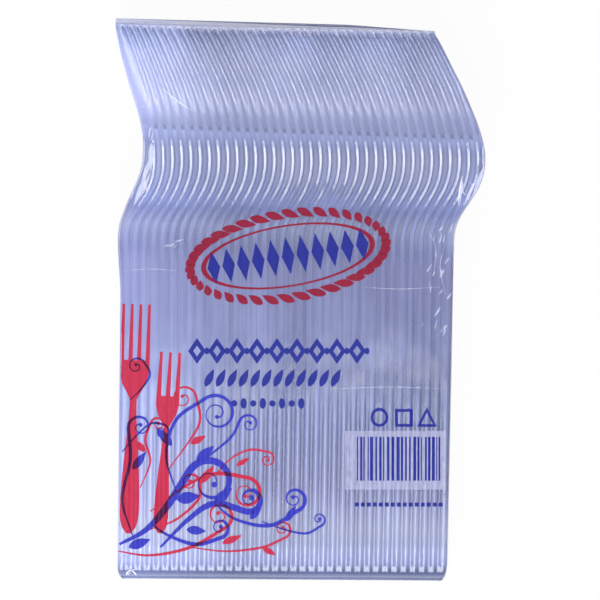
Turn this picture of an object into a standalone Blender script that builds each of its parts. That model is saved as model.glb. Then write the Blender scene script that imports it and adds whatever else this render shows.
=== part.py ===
"""A retail pack of clear plastic forks, nested edge on in one row inside a sealed film bag.

Every fork is a pressed plate: a flat blank of the fork's outline is laid along a centreline made of
arcs, dished a little across, and its thickness changes along its length. The thick neck of one fork
seats on the next, so the neck sets the pitch of the row. The bag is one thin sheet around the row, closed under the handles and
drawn together in a flat seam beyond the tines.

In the pack's own frame X runs along the row, Y from the handle ends to the tines and Z across the
forks. The pack lies on its side, so its frame is tipped a little until the back of the bag is level.
Lengths are in metres and angles in degrees.
"""

import math

import bmesh
import bpy
import numpy as np

# The row
FORK_COUNT = 36
NEST_GAP = 0.00028
ROW_STEP_DOWN = 0.00002

# A fork's centreline: the length of each stretch, from the handle's end to the tips of the tines
HANDLE_LENGTH = 0.1068
LOWER_BEND_LENGTH = 0.0085
NECK_LENGTH = 0.0070
UPPER_BEND_LENGTH = 0.0115
SHOULDER_LENGTH = 0.0060
BOWL_LENGTH = 0.0220
TINE_RUN_LENGTH = 0.0110
TINE_TIP_LENGTH = 0.0050

# The angle at which each stretch ends, positive towards the row's last fork
NECK_SLOPE = 32.0
SHOULDER_SLOPE = 10.0
BOWL_SLOPE = 25.0
TIP_SLOPE = 33.0

# Half widths of the fork's outline, across the row
HANDLE_END_HALF_WIDTH = 0.0086
NECK_HALF_WIDTH = 0.0045
HEAD_HALF_WIDTH = 0.0130
TIP_HALF_WIDTH = 0.0112
END_CORNER_RADIUS = 0.0042
FLARE_LENGTH = 0.0230

# Tines
TINE_COUNT = 4
TINE_LENGTH = 0.0335
TINE_ROOT_WIDTH = 0.0040
TINE_TIP_WIDTH = 0.0014

# Thicknesses of the fork's plate
HANDLE_THICKNESS = 0.0014
NECK_THICKNESS = 0.0022
HEAD_THICKNESS = 0.0013
TIP_THICKNESS = 0.0009

# How far the middle of the plate is pressed out of the line of its edges
HANDLE_DISH = 0.0005
HEAD_DISH = 0.0005

# How the film bends the forks, in degrees. The first heads are pushed upright, the rest lie a little
# unevenly, and the handle ends are drawn together
FIRST_FORK_FLEX = 4.6
FLEX_FADE_FORKS = 3.5
ROW_FLEX = 1.0
UNEVEN_FLEX = 0.22
HANDLE_LEAN = 0.9
ROW_LEAN = 0.2

# The film bag
FILM_THICKNESS = 0.0002
FILM_GAP = 0.0003
FILM_CORNER_RADIUS = 0.0008
FILM_LEFT_RADIUS = 0.0500
FILM_RIGHT_RADIUS = 0.0180
FILM_HEAD_RADIUS = 0.8000
FILM_NECK_SLACK = 0.0015
SEAM_WIDTH_LEFT = 0.0016
SEAM_WIDTH_RIGHT = 0.0006
SEAM_GAP = 0.0003
END_FOLD_LENGTH = 0.0007

# Facets
CORNER_FACETS = 2
END_CORNER_FACETS = 3
PROFILE_STEP = 0.00025

# Colours seen in the photograph
FORK_COLOUR = (0.60, 0.63, 0.83, 1.0)
FILM_COLOUR = (0.70, 0.72, 0.90, 1.0)
FORK_ROUGHNESS = 0.12
FILM_ROUGHNESS = 0.08
FORK_CLARITY = 0.5
FILM_CLARITY = 0.9


def fork_length():
    return (
        HANDLE_LENGTH
        + LOWER_BEND_LENGTH
        + NECK_LENGTH
        + UPPER_BEND_LENGTH
        + SHOULDER_LENGTH
        + BOWL_LENGTH
        + TINE_RUN_LENGTH
        + TINE_TIP_LENGTH
    )


def neck_start():
    return HANDLE_LENGTH + LOWER_BEND_LENGTH


def neck_end():
    return neck_start() + NECK_LENGTH


def head_start():
    return neck_end() + UPPER_BEND_LENGTH


def root_length():
    return fork_length() - TINE_LENGTH


def fork_pitch():
    """The neck is the thickest and steepest stretch, so there each fork rests on the next."""
    return (NECK_THICKNESS + NEST_GAP) / math.cos(math.radians(NECK_SLOPE))


def place_in_row(index):
    """-1 at the row's first fork and 1 at its last."""
    return 2 * index / max(FORK_COUNT - 1, 1) - 1


def head_flex(index):
    """Degrees by which the bag pushes this fork's head upright."""
    uneven = np.random.default_rng(7).uniform(-UNEVEN_FLEX, UNEVEN_FLEX, FORK_COUNT)
    pushed = FIRST_FORK_FLEX * math.exp(-index / FLEX_FADE_FORKS)
    return pushed - ROW_FLEX * place_in_row(index) + uneven[index]


def slope_at(length, index):
    """The centreline's angle from +Y at a length along a fork. Arcs join the straight stretches."""
    flex = head_flex(index)
    ends = np.cumsum(
        [
            HANDLE_LENGTH,
            LOWER_BEND_LENGTH,
            NECK_LENGTH,
            UPPER_BEND_LENGTH,
            SHOULDER_LENGTH,
            BOWL_LENGTH,
            TINE_RUN_LENGTH,
            TINE_TIP_LENGTH,
        ]
    )
    slopes = [
        HANDLE_LEAN + ROW_LEAN * place_in_row(index),
        NECK_SLOPE,
        NECK_SLOPE,
        0.0,
        flex - SHOULDER_SLOPE,
        flex - BOWL_SLOPE,
        flex - BOWL_SLOPE,
        flex - TIP_SLOPE,
    ]
    return np.radians(np.interp(length, ends, slopes))


def centreline(index):
    """Lengths along a fork with x from its neck, y from its handle's end and the angle there."""
    count = int(fork_length() / PROFILE_STEP) + 1
    length = np.linspace(0, fork_length(), count)
    middle = (length[1:] + length[:-1]) / 2
    step = np.diff(length)
    slope = slope_at(middle, index)
    x = np.concatenate([[0], np.cumsum(step * np.sin(slope))])
    y = np.concatenate([[0], np.cumsum(step * np.cos(slope))])
    return length, x - np.interp(neck_end(), length, x), y, slope_at(length, index)


def eased(share):
    share = np.clip(share, 0, 1)
    return share * share * (3 - 2 * share)


def half_width(length):
    """Half of the fork's outline across: a blunt end, a tapering handle, the neck and the head."""
    length = np.asarray(length, float)
    round_share = np.clip(length / END_CORNER_RADIUS, 0, 1)
    corner = END_CORNER_RADIUS * np.sqrt(1 - (1 - round_share) ** 2)
    end = HANDLE_END_HALF_WIDTH - END_CORNER_RADIUS + corner
    taper = np.interp(
        length,
        [END_CORNER_RADIUS, neck_start()],
        [HANDLE_END_HALF_WIDTH, NECK_HALF_WIDTH],
    )
    flare_start = root_length() - FLARE_LENGTH - SHOULDER_LENGTH / 2
    flare = eased((length - flare_start) / FLARE_LENGTH)
    head = (HEAD_HALF_WIDTH - NECK_HALF_WIDTH) * flare
    narrowing = (HEAD_HALF_WIDTH - TIP_HALF_WIDTH) * eased(
        (length - root_length()) / TINE_LENGTH
    )
    return np.minimum(end, taper) + head - narrowing


def thickness(length):
    """The plate's thickness, with its thick stretch at the neck."""
    return np.interp(
        length,
        [0, HANDLE_LENGTH, neck_start(), neck_end(), head_start(), root_length(), fork_length()],
        [
            HANDLE_THICKNESS,
            HANDLE_THICKNESS,
            NECK_THICKNESS,
            NECK_THICKNESS,
            HEAD_THICKNESS,
            HEAD_THICKNESS,
            TIP_THICKNESS,
        ],
    )


def dish(length):
    """How far the middle of the plate lies beyond its edges, towards the row's last fork."""
    return np.interp(
        length,
        [0, END_CORNER_RADIUS, HANDLE_LENGTH, neck_start(), neck_end(), root_length(), fork_length()],
        [0, HANDLE_DISH, HANDLE_DISH, 0, 0, HEAD_DISH, 0],
    )


def tine_edges(tine, share):
    """The two sides of a tine across the fork, at a share of its length from root to tip."""
    width = TINE_ROOT_WIDTH + (TINE_TIP_WIDTH - TINE_ROOT_WIDTH) * share
    outer = half_width(root_length() + share * TINE_LENGTH)
    spread = 2 * outer - width
    middle = -outer + width / 2 + spread * tine / (TINE_COUNT - 1)
    return middle - width / 2, middle + width / 2


def end_corner_lengths():
    """Where the round corners of the handle's end have their facets."""
    angles = np.linspace(0, math.pi / 2, END_CORNER_FACETS + 1)
    return [END_CORNER_RADIUS * (1 - math.cos(angle)) for angle in angles]


def plate_lengths():
    """Where the blank has a row of corners, from the handle's end to the tine roots."""
    handle = [HANDLE_LENGTH / 2, HANDLE_LENGTH]
    neck = [
        neck_start() - LOWER_BEND_LENGTH / 2,
        neck_start(),
        neck_end(),
        neck_end() + UPPER_BEND_LENGTH / 3,
        neck_end() + UPPER_BEND_LENGTH * 2 / 3,
        head_start(),
        head_start() + SHOULDER_LENGTH / 2,
    ]
    return end_corner_lengths() + handle + neck


def add_blank(bm):
    """A flat sheet of the fork's outline, as faces in bm, with y the length and z across."""
    rows = [
        [bm.verts.new((0, s, across * float(half_width(s)))) for across in (-1, 0, 1)]
        for s in plate_lengths()
    ]
    for low, high in zip(rows, rows[1:]):
        bm.faces.new((low[0], low[1], high[1], high[0]))
        bm.faces.new((low[1], low[2], high[2], high[1]))
    root = root_length()
    roots = [
        [bm.verts.new((0, root, z)) for z in tine_edges(tine, 0)]
        for tine in range(TINE_COUNT)
    ]
    left, middle, right = rows[-1]
    near = [corner for pair in roots[: TINE_COUNT // 2] for corner in pair]
    far = [corner for pair in roots[TINE_COUNT // 2 :] for corner in pair]
    bm.faces.new([left, middle, *near[::-1]])
    bm.faces.new([middle, right, *far[::-1]])
    bm.faces.new([middle, far[0], near[-1]])
    for tine, low in enumerate(roots):
        for share in (0.4, 0.75, 1.0):
            s = root + share * TINE_LENGTH
            high = [bm.verts.new((0, s, z)) for z in tine_edges(tine, share)]
            bm.faces.new((low[0], low[1], high[1], high[0]))
            low = high


def press(bm, index):
    """Lays the blank along the centreline. A corner's x says on which face of the plate it is."""
    length, x, y, slope = centreline(index)
    for corner in bm.verts:
        s = corner.co.y
        side = 0.5 if corner.co.x > 0 else -0.5
        angle = np.interp(s, length, slope)
        middle_share = 1 - (corner.co.z / float(half_width(s))) ** 2
        off = side * float(thickness(s)) + middle_share * float(dish(s))
        corner.co.x = np.interp(s, length, x) + off * math.cos(angle)
        corner.co.y = np.interp(s, length, y) - off * math.sin(angle)


def add_fork(index, collection, parent, material):
    bm = bmesh.new()
    add_blank(bm)
    bmesh.ops.recalc_face_normals(bm, faces=bm.faces)
    plate = bmesh.ops.extrude_face_region(bm, geom=bm.faces[:])
    for part in plate["geom"]:
        if isinstance(part, bmesh.types.BMVert):
            part.co.x = 1.0
    press(bm, index)
    bmesh.ops.recalc_face_normals(bm, faces=bm.faces)
    mesh = bpy.data.meshes.new(f"fork_{index + 1:02d}")
    bm.to_mesh(mesh)
    bm.free()
    mesh.materials.append(material)
    mesh.shade_smooth()
    mesh.set_sharp_from_angle(angle=math.radians(40))
    fork = bpy.data.objects.new(mesh.name, mesh)
    fork.location = (index * fork_pitch(), -index * ROW_STEP_DOWN, 0)
    fork.parent = parent
    collection.objects.link(fork)
    return fork


def face_line(index, side, middle_share=0):
    """x and y of a fork's left (-1) or right (1) face, along its edges (0) or its dished middle (1)."""
    length, x, y, slope = centreline(index)
    off = side * thickness(length) / 2 + middle_share * dish(length)
    row_x = index * fork_pitch()
    row_y = -index * ROW_STEP_DOWN
    return row_x + x + off * np.cos(slope), row_y + y - off * np.sin(slope)


def bridged(step, x, side, radius):
    """The line that a film takes along a side when its hollows are spanned by arcs of this radius."""
    beyond = math.ceil(radius / step)
    outward = np.pad(side * x, beyond, constant_values=-1.0)
    place = np.arange(len(outward)) * step
    reach = place[:, None] - place[None, :]
    arc = np.sqrt(np.clip(radius**2 - reach**2, 0, None))
    near = np.abs(reach) < radius
    rolled = np.where(near, outward[None, :] + arc, -np.inf).max(axis=1)
    spanned = np.where(near, rolled[None, :] - arc, np.inf).min(axis=1)
    return side * spanned[beyond : beyond + len(x)]


def taut(y, height):
    """The line of a film pulled straight over the high places of a height along y."""
    held = []
    for point in zip(y, height):
        while len(held) > 1:
            (y0, h0), (y1, h1) = held[-2], held[-1]
            if (h1 - h0) * (point[0] - y0) > (point[1] - h0) * (y1 - y0):
                break
            held.pop()
        held.append(point)
    ys, hs = zip(*held)
    return np.interp(y, ys, hs)


def film_clearance():
    """How far the film's flat sides stand off, so that its round corners clear the forks' edges."""
    arc = FILM_CORNER_RADIUS * math.cos(math.pi / 4 / CORNER_FACETS)
    return FILM_CORNER_RADIUS - (arc - FILM_GAP) / math.sqrt(2)


def swell(place, start, end):
    """Rises smoothly from 0 at the start to 1 halfway and falls back to 0 at the end."""
    share = np.clip((place - start) / (end - start), 0, 1)
    return (1 - np.cos(2 * math.pi * share)) / 2


def film_lines():
    """Lines along y for the film's inner face: its left and right sides and its half height."""
    last = FORK_COUNT - 1
    length, _, y_middle, _ = centreline(FORK_COUNT // 2)
    lines = {}
    for index, side, radius in ((0, -1, FILM_LEFT_RADIUS), (last, 1, FILM_RIGHT_RADIUS)):
        x, y = face_line(index, side)
        crown_x, crown_y = face_line(index, side, middle_share=1)
        step = 2 * PROFILE_STEP
        grid = np.arange(y.min(), y.max() + step, step)
        edge = side * np.interp(grid, y, x) + film_clearance()
        crown = side * np.interp(grid, crown_y, crown_x) + FILM_GAP
        line = side * np.maximum(edge, crown)
        head = grid > np.interp(head_start(), length, y_middle)
        line[head] = bridged(step, line[head], side, FILM_HEAD_RADIUS)
        lines[side] = (grid, bridged(step, line, side, radius))
    neck = np.interp([HANDLE_LENGTH, head_start()], length, y_middle)
    grid, line = lines[-1]
    lines[-1] = (grid, line - FILM_NECK_SLACK * swell(grid, *neck))
    height = taut(y_middle, half_width(length)) + film_clearance()
    return lines, (y_middle, height)


def tip_line():
    """How far up Y the left and right ends of a straight line reach that clears every fork's tips."""
    tops = []
    for index in range(FORK_COUNT):
        for side in (-1, 1):
            x, y = face_line(index, side)
            tops.append((x[-1], y[-1]))
    x, y = np.array(tops).T
    left, right = y[0], y[-1]
    share = (x - x[0]) / (x[-1] - x[0])
    lift = (y - (left + (right - left) * share)).max()
    return left + lift, right + lift


def film_sections():
    """Sections of the bag along Y: y at its left and right side, x there, and the half height."""
    lines, (height_y, height) = film_lines()
    length, _, y, _ = centreline(FORK_COUNT // 2)
    left_tip, right_tip = (top - y[-1] for top in tip_line())
    right_end = -(FORK_COUNT - 1) * ROW_STEP_DOWN
    neck_y = np.interp(neck_end(), length, y)
    tip_y = y[-1]
    stretches = [
        *end_corner_lengths(),
        HANDLE_LENGTH * 0.5,
        HANDLE_LENGTH - LOWER_BEND_LENGTH,
        HANDLE_LENGTH,
        neck_start() - LOWER_BEND_LENGTH / 2,
        neck_start(),
        (neck_start() + neck_end()) / 2,
        neck_end(),
        neck_end() + UPPER_BEND_LENGTH / 2,
        head_start(),
        head_start() + SHOULDER_LENGTH / 2,
        head_start() + SHOULDER_LENGTH,
        root_length(),
        root_length() + TINE_LENGTH * 0.3,
        root_length() + TINE_LENGTH * 0.6,
        root_length() + TINE_LENGTH * 0.85,
        fork_length(),
    ]
    sections = []
    for at in np.interp(stretches, length, y):
        share = np.clip((at - neck_y) / (tip_y - neck_y), 0, 1)
        ends = []
        for side, end, tip in ((-1, 0, left_tip), (1, right_end, right_tip)):
            end_y = at + (1 - share) * end + share * tip
            ends.append((end_y, np.interp(end_y, *lines[side])))
        sections.append((*ends, float(np.interp(at, height_y, height))))
    first = sections[0]
    bottom = tuple((end_y - FILM_GAP, end_x) for end_y, end_x in first[:2])
    sections[0] = (*bottom, first[2])
    return sections


def seam_sections(last):
    """Beyond the tines the front and back of the bag come down to a flat seam."""
    left, right, height = last
    folded = FILM_GAP + END_FOLD_LENGTH
    steps = (
        (FILM_GAP, FILM_GAP, height),
        (FILM_GAP + END_FOLD_LENGTH * 0.6, FILM_GAP + END_FOLD_LENGTH * 0.6, height * 0.55),
        (folded, folded, SEAM_GAP / 2),
        (folded + SEAM_WIDTH_LEFT, folded + SEAM_WIDTH_RIGHT, SEAM_GAP / 2),
    )
    return [
        ((left[0] + up_left, left[1]), (right[0] + up_right, right[1]), half)
        for up_left, up_right, half in steps
    ]


def section_points(left, right, height):
    """Corners of one section of the bag: a rectangle with round corners, sheared along Y."""
    radius = min(FILM_CORNER_RADIUS, height)
    (y0, x0), (y1, x1) = left, right
    corners = (
        (x1 - radius, height - radius, 0),
        (x0 + radius, height - radius, 1),
        (x0 + radius, radius - height, 2),
        (x1 - radius, radius - height, 3),
    )
    points = []
    for x, z, quarter in corners:
        for facet in range(CORNER_FACETS + 1):
            angle = (quarter + facet / CORNER_FACETS) * math.pi / 2
            px = x + radius * math.cos(angle)
            py = y0 + (y1 - y0) * (px - x0) / (x1 - x0)
            points.append((px, py, z + radius * math.sin(angle)))
    return points


def add_film(collection, parent, material):
    """The bag: an open tube with a closed bottom, thickened outwards."""
    sections = film_sections()
    sections += seam_sections(sections[-1])
    bm = bmesh.new()
    loops = [[bm.verts.new(p) for p in section_points(*s)] for s in sections]
    for low, high in zip(loops, loops[1:]):
        for i, corner in enumerate(low):
            after = (i + 1) % len(low)
            bm.faces.new((corner, high[i], high[after], low[after]))
    bm.faces.new(loops[0])
    bmesh.ops.recalc_face_normals(bm, faces=bm.faces)
    mesh = bpy.data.meshes.new("film_bag")
    bm.to_mesh(mesh)
    bm.free()
    mesh.materials.append(material)
    mesh.shade_smooth()
    mesh.set_sharp_from_angle(angle=math.radians(50))
    film = bpy.data.objects.new("film_bag", mesh)
    film.parent = parent
    collection.objects.link(film)
    wall = film.modifiers.new("film_wall", "SOLIDIFY")
    wall.thickness = FILM_THICKNESS
    wall.offset = 1.0
    wall.use_even_offset = True
    return film


def plastic(name, colour, roughness, clarity):
    material = bpy.data.materials.new(name)
    material.use_nodes = True
    shader = material.node_tree.nodes["Principled BSDF"]
    shader.inputs["Base Color"].default_value = colour
    shader.inputs["Metallic"].default_value = 0.0
    shader.inputs["Roughness"].default_value = roughness
    shader.inputs["Transmission Weight"].default_value = clarity
    return material


def lay_down(frame, film):
    """Tips the pack until the back of its bag is level, then centres it on the origin at z = 0."""
    length, _, y, _ = centreline(FORK_COUNT // 2)
    width = half_width(length)
    wide_handle = int(np.argmax(np.where(length < HANDLE_LENGTH, width, 0)))
    wide_head = int(np.argmax(width))
    rise = width[wide_head] - width[wide_handle]
    frame.rotation_euler.x = math.atan2(rise, y[wide_head] - y[wide_handle])
    bpy.context.view_layer.update()
    shown = film.evaluated_get(bpy.context.evaluated_depsgraph_get())
    corners = np.array([shown.matrix_world @ v.co for v in shown.data.vertices])
    low, high = corners.min(axis=0), corners.max(axis=0)
    frame.location = (-(low[0] + high[0]) / 2, -(low[1] + high[1]) / 2, -low[2])


def main():
    for old in list(bpy.data.objects):
        bpy.data.objects.remove(old)
    collection = bpy.data.collections.new("fork_pack")
    bpy.context.scene.collection.children.link(collection)
    frame = bpy.data.objects.new("pack_frame", None)
    collection.objects.link(frame)
    fork_plastic = plastic("clear_polystyrene", FORK_COLOUR, FORK_ROUGHNESS, FORK_CLARITY)
    film_plastic = plastic("clear_film", FILM_COLOUR, FILM_ROUGHNESS, FILM_CLARITY)
    for index in range(FORK_COUNT):
        add_fork(index, collection, frame, fork_plastic)
    film = add_film(collection, frame, film_plastic)
    lay_down(frame, film)


main()
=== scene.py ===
"""Looks of a retail pack of clear plastic forks, nested edge on in a printed film bag.

Places on the print are given in the photograph's pixels, because that is how they were read. Lengths are
in metres and angles in degrees.
"""

import math

import bmesh
import bpy
import numpy as np
from mathutils import Matrix, Vector, noise
from mathutils.bvhtree import BVHTree


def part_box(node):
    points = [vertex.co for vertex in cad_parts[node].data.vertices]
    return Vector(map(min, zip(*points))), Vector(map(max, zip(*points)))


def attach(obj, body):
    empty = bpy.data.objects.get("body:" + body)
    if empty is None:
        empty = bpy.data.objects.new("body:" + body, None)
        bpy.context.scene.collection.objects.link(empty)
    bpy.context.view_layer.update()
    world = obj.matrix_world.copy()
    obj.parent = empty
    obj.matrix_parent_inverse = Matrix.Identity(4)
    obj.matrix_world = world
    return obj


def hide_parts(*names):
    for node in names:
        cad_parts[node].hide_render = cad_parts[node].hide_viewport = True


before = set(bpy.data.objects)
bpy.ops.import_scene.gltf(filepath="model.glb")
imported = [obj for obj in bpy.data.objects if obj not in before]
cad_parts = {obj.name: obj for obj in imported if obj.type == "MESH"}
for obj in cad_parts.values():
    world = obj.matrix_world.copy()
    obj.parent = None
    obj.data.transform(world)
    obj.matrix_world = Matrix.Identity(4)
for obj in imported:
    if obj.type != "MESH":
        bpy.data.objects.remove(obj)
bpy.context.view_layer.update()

# The photograph's frame
PIXEL = 0.000316
IMAGE_MIDDLE = (299.5, 298.5)
IMAGE_WIDTH = 600
CAMERA_HEIGHT = 1.6
PRINT_HEIGHT = 0.023

# The row of forks, as in the solids
FORK_COUNT = 36
NEST_GAP = 0.00028
ROW_STEP_DOWN = 0.00002
STRETCH_LENGTHS = (0.1068, 0.0085, 0.0070, 0.0115, 0.0060, 0.0220, 0.0110, 0.0050)
NECK_SLOPE = 32.0
SHOULDER_SLOPE = 10.0
BOWL_SLOPE = 25.0
TIP_SLOPE = 33.0
HANDLE_END_HALF_WIDTH = 0.0086
NECK_HALF_WIDTH = 0.0045
HEAD_HALF_WIDTH = 0.0130
TIP_HALF_WIDTH = 0.0112
END_CORNER_RADIUS = 0.0042
FLARE_LENGTH = 0.0230
TINE_COUNT = 4
TINE_LENGTH = 0.0335
TINE_ROOT_WIDTH = 0.0040
TINE_TIP_WIDTH = 0.0014
NECK_THICKNESS = 0.0022
HANDLE_DISH = 0.0005
HEAD_DISH = 0.0005
FIRST_FORK_FLEX = 4.6
FLEX_FADE_FORKS = 3.5
ROW_FLEX = 1.0
UNEVEN_FLEX = 0.22
HANDLE_LEAN = 0.9
ROW_LEAN = 0.2

# Details of a fork that only its finish needs
HANDLE_EDGE = 0.0014
HEAD_EDGE = 0.0012
TIP_EDGE = 0.0009
EDGE_ROUNDING = 0.00015
EDGE_GROOVE = 0.00006
EDGE_CROWN = 0.00008
EDGE_FADE_LEAD = 0.0030
GROOVE_FADE_LENGTH = 0.0080
CROWN_FADE_LENGTH = 0.0075
BEND_STEP = 0.0012
PROFILE_STEP = 0.0005

# The film
FILM_GAP = 0.0003
FILM_CLEARANCE = 0.0005
FILM_CORNER_RADIUS = 0.0008
FILM_LEFT_RADIUS = 0.0500
FILM_RIGHT_RADIUS = 0.0180
FILM_HEAD_RADIUS = 0.8000
FILM_NECK_SLACK = 0.0015
FILM_SIDE_BULGE = 0.0005
FILM_DENT = 0.00012
# Where the bag stands off beside the row: its side, the lengths of the start and middle, and how far
FILM_BULGES = ((-1, 0.088, 0.107, 0.0010), (-1, 0.138, 0.165, 0.0014), (1, 0.112, 0.135, 0.0010))
SEAM_WIDTH_LEFT = 0.0012
SEAM_WIDTH_RIGHT = 0.0006
SEAM_GAP = 0.0003
END_FOLD_LENGTH = 0.0010
TOP_EDGE_SHEAR = 0.044
HALF_PACK_WIDTH = 0.058
HALF_PACK_LENGTH = 0.089
# Lengths along a fork over which the film comes clear of it, and over which it settles again
FILM_SLACK_START = 0.0400
FILM_SLACK_RISE = 0.0300
FILM_SLACK_END_LEAD = 0.0120
FILM_SLACK_FALL = 0.0140
FILM_END_SLACK = 0.0010
# The closed end beyond the handles, from its outermost row inwards, and its least share of the height
END_PILLOW_SHARES = (1.0, 0.88, 0.6, 0.3)
END_PILLOW_LEAST = 0.45
# The folds beyond the tines: a share of their length, and the share of the bag's height there
END_FOLDS = ((0.3, 1.0), (0.55, 0.86), (0.8, 0.5))
FILM_CORNER_REACH = 0.0042
FILM_CORNER_INSET = 0.0017
TOP_RIGHT_DROOP = 0.0013
TOP_RIGHT_REACH = 0.30
FILM_COLUMNS_PER_FORK = 6

# The print's mesh, and the floor
INK_LIFT = 0.00004
INK_CUT_ACROSS = 0.0005
INK_CUT_ALONG = 0.0025
FLOOR_HALF_SIZE = 1.5
FLOOR_DROP = 0.0001
FLOOR_WHITE_SHARE = 0.95


def stretch_end(count):
    return sum(STRETCH_LENGTHS[:count])


def root_length():
    return stretch_end(8) - TINE_LENGTH


def fork_pitch():
    return (NECK_THICKNESS + NEST_GAP) / math.cos(math.radians(NECK_SLOPE))


def place_in_row(index):
    return 2 * index / (FORK_COUNT - 1) - 1


def head_flex(index):
    uneven = np.random.default_rng(7).uniform(-UNEVEN_FLEX, UNEVEN_FLEX, FORK_COUNT)
    pushed = FIRST_FORK_FLEX * math.exp(-index / FLEX_FADE_FORKS)
    return pushed - ROW_FLEX * place_in_row(index) + uneven[index]


def slope_at(length, index):
    flex = head_flex(index)
    slopes = [
        HANDLE_LEAN + ROW_LEAN * place_in_row(index),
        NECK_SLOPE,
        NECK_SLOPE,
        0.0,
        flex - SHOULDER_SLOPE,
        flex - BOWL_SLOPE,
        flex - BOWL_SLOPE,
        flex - TIP_SLOPE,
    ]
    return np.radians(np.interp(length, np.cumsum(STRETCH_LENGTHS), slopes))


def centreline(index):
    """Lengths along a fork with x in the row, y and the angle there."""
    length = np.linspace(0, stretch_end(8), int(stretch_end(8) / PROFILE_STEP) + 1)
    slope = slope_at((length[1:] + length[:-1]) / 2, index)
    step = np.diff(length)
    x = np.concatenate([[0], np.cumsum(step * np.sin(slope))])
    y = np.concatenate([[0], np.cumsum(step * np.cos(slope))])
    x += index * fork_pitch() - np.interp(stretch_end(3), length, x)
    return length, x, y - index * ROW_STEP_DOWN, slope_at(length, index)


def eased(share):
    share = np.clip(share, 0, 1)
    return share * share * (3 - 2 * share)


def half_width(length):
    length = np.asarray(length, float)
    round_share = np.clip(length / END_CORNER_RADIUS, 0, 1)
    corner = END_CORNER_RADIUS * np.sqrt(1 - (1 - round_share) ** 2)
    end = HANDLE_END_HALF_WIDTH - END_CORNER_RADIUS + corner
    taper = np.interp(
        length,
        [END_CORNER_RADIUS, stretch_end(2)],
        [HANDLE_END_HALF_WIDTH, NECK_HALF_WIDTH],
    )
    flare_start = root_length() - FLARE_LENGTH - STRETCH_LENGTHS[4] / 2
    flare = (HEAD_HALF_WIDTH - NECK_HALF_WIDTH) * eased((length - flare_start) / FLARE_LENGTH)
    narrowing = (HEAD_HALF_WIDTH - TIP_HALF_WIDTH) * eased((length - root_length()) / TINE_LENGTH)
    return np.minimum(end, taper) + flare - narrowing


def edge_thickness(length):
    return np.interp(
        length,
        [0, stretch_end(1), stretch_end(3), root_length(), stretch_end(8)],
        [HANDLE_EDGE, HANDLE_EDGE, HEAD_EDGE, HEAD_EDGE, TIP_EDGE],
    )


def neck_rib(length):
    """How much thicker than its edges a fork is along its middle: a rib that fades out of the neck."""
    rise = eased((length - stretch_end(1)) / STRETCH_LENGTHS[1])
    fall = eased((length - stretch_end(3)) / STRETCH_LENGTHS[3])
    return (NECK_THICKNESS - HEAD_EDGE) * (rise - fall)


def dish(length):
    """How far a fork's middle lies beyond its edges, towards the row's last fork."""
    places = [
        0,
        END_CORNER_RADIUS,
        stretch_end(1),
        stretch_end(2),
        stretch_end(3),
        root_length(),
        stretch_end(8),
    ]
    return np.interp(length, places, [0, HANDLE_DISH, HANDLE_DISH, 0, 0, HEAD_DISH, 0])


def tine_edges(tine, share):
    width = TINE_ROOT_WIDTH + (TINE_TIP_WIDTH - TINE_ROOT_WIDTH) * share
    outer = float(half_width(root_length() + share * TINE_LENGTH))
    middle = -outer + width / 2 + (2 * outer - width) * tine / (TINE_COUNT - 1)
    return middle - width / 2, middle + width / 2


def fork_stations():
    """Rows of corners from the handle's end to the tine roots, close together where it bends."""
    round_end = [END_CORNER_RADIUS * (1 - math.cos(a)) for a in np.linspace(0, math.pi / 2, 8)]
    handle = np.linspace(END_CORNER_RADIUS, STRETCH_LENGTHS[0], 12)[1:]
    curved = np.arange(STRETCH_LENGTHS[0] + BEND_STEP, root_length() - BEND_STEP / 2, BEND_STEP)
    return [*round_end, *handle, *curved, root_length()]


def shape_edges(bm):
    """Sinks the middle of the blank's edges along the tines and crowns it along the handle."""
    bmesh.ops.recalc_face_normals(bm, faces=bm.faces)
    through = [edge for edge in bm.edges if edge.verts[0].co.x * edge.verts[1].co.x < 0]
    cut = bmesh.ops.subdivide_edges(bm, edges=through, cuts=3)
    inner = [part for part in cut["geom_inner"] if isinstance(part, bmesh.types.BMVert)]
    middles = [corner for corner in inner if abs(corner.co.x) < EDGE_GROOVE / 2]
    bm.normal_update()
    moves = []
    for corner in middles:
        normal = sum((face.normal for face in corner.link_faces), Vector())
        past_root = corner.co.y - root_length() + EDGE_FADE_LEAD
        past_neck = corner.co.y - stretch_end(3) + EDGE_FADE_LEAD
        tines = float(eased(past_root / GROOVE_FADE_LENGTH))
        handle = 1 - float(eased(past_neck / CROWN_FADE_LENGTH))
        rise = handle * EDGE_CROWN - tines * EDGE_GROOVE
        moves.append((corner, normal.normalized() * rise))
    for corner, move in moves:
        corner.co += move


def mesh_data(bm):
    """The corners and the faces of a mesh that is finished and freed."""
    bm.verts.index_update()
    corners = np.array([corner.co for corner in bm.verts])
    faces = [[corner.index for corner in face.verts] for face in bm.faces]
    bm.free()
    return corners, faces


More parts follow.
